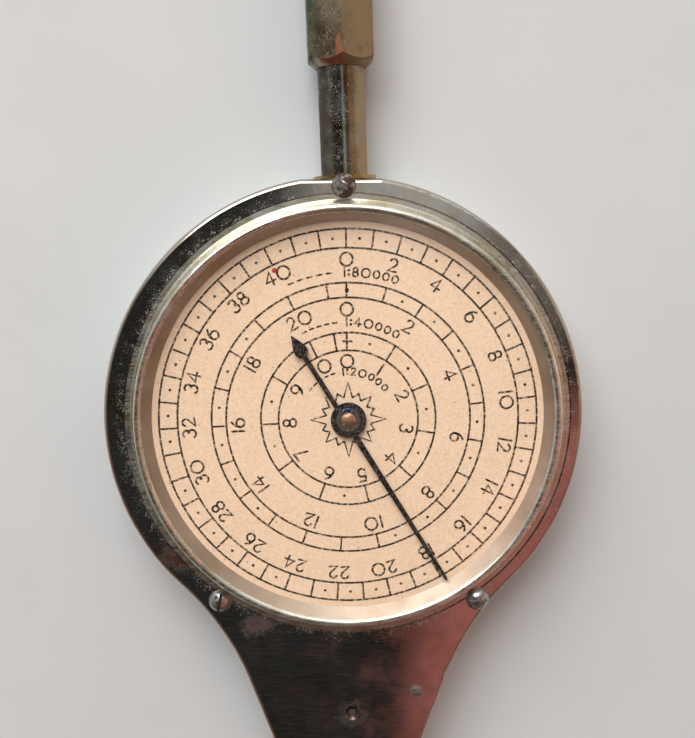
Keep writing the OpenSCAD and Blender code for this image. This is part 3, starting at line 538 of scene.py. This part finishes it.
dialPrint = {  # mm and degrees
    "lift": 0.005, "rule": 0.19, "tick": 0.185, "dot": 0.29, "bigDot": 0.42, "pen": 0.2,
    "numberHigh": 1.2, "gap": 0.3, "ringSides": 180, "dotSides": 10,
    # for each scale: units in a turn, ring radii, last whole tick, ticks between, divisions
    # without a dot, the numbers' radius, their step and the last of them, how far it is turned
    "scales": [
        {"units": 43, "rings": (15.82, 17.54), "lastTick": 42, "ownTicks": (), "noDot": (23, 30),
         "numberR": 14.78, "every": 2, "lastNumber": 40, "turn": 0.0},
        {"units": 21.5, "rings": (11.32, 12.67), "lastTick": 21, "ownTicks": (),
         "noDot": (0, 10, 11, 12, 19, 20, 21), "numberR": 10.25, "every": 2, "lastNumber": 20, "turn": -0.14},
        {"units": 10.75, "rings": (6.47, 8.11), "lastTick": 10, "ownTicks": (10.5,), "noDot": (4, 6, 9, 10),
         "numberR": 5.45, "every": 1, "lastNumber": 10, "turn": -0.46},
    ],
    # the scale ratios: figures (o is the narrow nought), radius, middle, height, dashes from and to
    "ratios": [
        ("1:80ooo", 13.62, 9.6, 0.8, -23, -4),
        ("1:40ooo", 9.08, 15.3, 0.78, -27, -4),
        ("1:20ooo", 4.5, 23.0, 0.68, -52, -12),
    ],
    "ratioPen": 0.17, "dashes": 5, "dashShare": 0.11,
    "zeroMark": (11.97, 0.0), "crossBar": (7.3, 0.42),
    "star": {"points": 16, "foot": 2.1, "half": 11, "line": 0.17, "long": 3.5, "middle": 3.0, "short": 2.6},
}
redDot = {"radius": 15.32, "azimuth": 334.7, "size": 0.5, "sides": 7}


def arc(cx, cy, rx, ry, start, end):  # points on an ellipse, angles in degrees
    count = max(3, int(abs(end - start) / 18))
    return [(cx + rx * math.cos(math.radians(start + (end - start) * i / count)),
             cy + ry * math.sin(math.radians(start + (end - start) * i / count))) for i in range(count + 1)]


# Figures in a box one high, centred: (half width, strokes).
figures = {
    "0": (0.5, [arc(0, 0, 0.48, 0.5, 90, 450)]),
    "o": (0.36, [arc(0, 0, 0.34, 0.42, 90, 450)]),
    "1": (0.06, [[(0, 0.5), (0, -0.5)]]),
    "2": (0.33, [arc(-0.02, 0.22, 0.27, 0.28, 165, -40) + [(-0.32, -0.5), (0.33, -0.42)]]),
    "3": (0.31, [arc(-0.03, 0.24, 0.27, 0.26, 140, -70) + arc(-0.03, -0.2, 0.31, 0.3, 70, -150)]),
    "4": (0.38, [[(0.12, -0.5), (0.12, 0.5), (-0.38, -0.18), (0.38, -0.18)]]),
    "5": (0.33, [[(0.27, 0.5), (-0.2, 0.5), (-0.26, 0.06)] + arc(-0.02, -0.18, 0.3, 0.32, 130, -150)]),
    "6": (0.33, [arc(0.62, -0.16, 0.93, 0.8, 125, 180) + arc(0.01, -0.19, 0.32, 0.31, 180, 540)]),
    "7": (0.31, [[(-0.31, 0.5), (0.31, 0.5), (-0.1, -0.5)]]),
    "8": (0.31, [arc(0, 0.25, 0.24, 0.25, -90, 270), arc(0, -0.24, 0.31, 0.26, 90, 450)]),
    "9": (0.33, [arc(-0.62, 0.16, 0.93, 0.8, -55, 0) + arc(-0.01, 0.19, 0.32, 0.31, 0, 360)]),
    ":": (0.06, [arc(0, 0.22, 0.05, 0.05, 0, 360), arc(0, -0.28, 0.05, 0.05, 0, 360)]),
}


def drawLine(made, points, width, closed=False):  # a flat ribbon with round ends
    path = [Vector(point) for point in points]
    count = len(path)
    left, right = [], []
    for i, point in enumerate(path):
        inward = (point - path[i - 1]).normalized() if (i or closed) else None
        outward = (path[(i + 1) % count] - point).normalized() if (i < count - 1 or closed) else None
        inward = inward or outward
        outward = outward or inward
        turned = inward + outward
        along = turned.normalized() if turned.length > sharpTurn else outward
        across = Vector((-along.y, along.x))
        square = abs(across.dot(Vector((-outward.y, outward.x))))
        half = across * width / 2 * min(1 / max(0.5, square), mostMitre)
        left.append(made.verts.new((*(point + half) * mm, printZ)))
        right.append(made.verts.new((*(point - half) * mm, printZ)))
    for i in range(count if closed else count - 1):
        j = (i + 1) % count
        made.faces.new((right[i], right[j], left[j], left[i]))
    if closed:
        return
    for end, other, first, last in ((path[0], path[1], right[0], left[0]), (path[-1], path[-2], left[-1], right[-1])):
        out = end - other
        turn = math.atan2(out.y, out.x)
        cap = [made.verts.new(((end.x + width / 2 * math.cos(turn + a)) * mm,
                               (end.y + width / 2 * math.sin(turn + a)) * mm, printZ))
               for a in (-math.pi / 4, 0, math.pi / 4)]
        made.faces.new((first, *cap, last))


def drawDot(made, x, y, size, sides):
    half = size / 2
    turns = [2 * math.pi * i / sides for i in range(sides)]
    made.faces.new([made.verts.new(((x + half * math.cos(turn)) * mm, (y + half * math.sin(turn)) * mm, printZ))
                    for turn in turns])


def onDial(radius, azimuth):  # clockwise from the handle
    return radius * math.sin(math.radians(azimuth)), radius * math.cos(math.radians(azimuth))


def drawFigure(made, mark, centre, up, high, pen):
    right = (up[1], -up[0])
    for stroke in figures[mark][1]:
        points = [(centre[0] + (x * right[0] + y * up[0]) * high, centre[1] + (x * right[1] + y * up[1]) * high)
                  for x, y in stroke]
        closed = math.dist(points[0], points[-1]) < 1e-6
        drawLine(made, points[:-1] if closed else points, pen, closed)


def drawNumber(made, text, radius, azimuth, high, pen, gap, bent=False):
    widths = [figures[mark][0] * 2 * high for mark in text]
    reach = -(sum(widths) + gap * (len(text) - 1)) / 2
    for mark, width in zip(text, widths):
        middle = reach + width / 2
        reach += width + gap
        if bent:  # follows the ring
            here = azimuth + math.degrees(middle / radius)
            drawFigure(made, mark, onDial(radius, here), onDial(1, here), high, pen)
        else:
            up = onDial(1, azimuth)
            x, y = onDial(radius, azimuth)
            drawFigure(made, mark, (x + up[1] * middle, y - up[0] * middle), up, high, pen)


def drawScale(made, scale, look):
    units, turn, lastTick = scale["units"], scale["turn"], scale["lastTick"]
    step = 360 / units
    low, top = scale["rings"]
    for radius in scale["rings"]:
        ring = [onDial(radius, 360 * i / look["ringSides"]) for i in range(look["ringSides"])]
        drawLine(made, ring, look["rule"], True)
    for mark in (*range(lastTick + 1), *scale["ownTicks"]):
        azimuth = mark * step + turn
        drawLine(made, [onDial(low, azimuth), onDial(top, azimuth)], look["tick"])
    for mark in range(lastTick + 1):
        middle = min(mark + 0.5, (mark + units) / 2)  # the last division is a short one
        if mark not in scale["noDot"]:
            drawDot(made, *onDial((low + top) / 2, middle * step + turn), look["dot"], look["dotSides"])
    for number in range(0, scale["lastNumber"] + 1, scale["every"]):
        drawNumber(made, str(number), scale["numberR"], number * step + turn, look["numberHigh"],
                   look["pen"], look["gap"])


def drawStar(made, star):  # a compass star about the hub, in thin outline
    step = 360 / star["points"]
    for i in range(star["points"]):
        azimuth = i * step
        reach = star["long"] if i % 4 == 0 else star["middle"] if i % 2 == 0 else star["short"]
        drawLine(made, [onDial(star["foot"], azimuth - star["half"]), onDial(reach, azimuth),
                        onDial(star["foot"], azimuth + star["half"])], star["line"])


def layPrint(name, made, paint):
    mesh = bpy.data.meshes.new(name)
    made.to_mesh(mesh)
    made.free()
    piece = addPiece(name, mesh, paint)
    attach(piece, "case")


def printDial(look):
    made = bmesh.new()
    for scale in look["scales"]:
        drawScale(made, scale, look)
    for text, radius, middle, high, first, last in look["ratios"]:
        drawNumber(made, text, radius, middle, high, look["ratioPen"], look["gap"], bent=True)
        span = last - first
        for i in range(look["dashes"]):
            start = first + span * i / look["dashes"]
            drawLine(made, [onDial(radius, start), onDial(radius, start + span * look["dashShare"])],
                     look["ratioPen"])
    drawDot(made, *onDial(*look["zeroMark"]), look["bigDot"], look["dotSides"])
    barR, barHalf = look["crossBar"]
    drawLine(made, [(-barHalf, barR), (barHalf, barR)], look["tick"])
    drawStar(made, look["star"])
    layPrint("printed_scales", made, makeInk("printer's black ink", blackInk))


def markDial(look):  # a dot of pencil, a mark of use
    made = bmesh.new()
    drawDot(made, *onDial(look["radius"], look["azimuth"]), look["size"], look["sides"])
    layPrint("pen_mark", made, makeInk("red pencil", redInk))


sharpTurn = 0.2     # a line that turns back more sharply isn't mitred
mostMitre = 1.6
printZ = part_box("dial_paper")[1].z + dialPrint["lift"] * mm
printDial(dialPrint)
markDial(redDot)
print("the dial is printed")
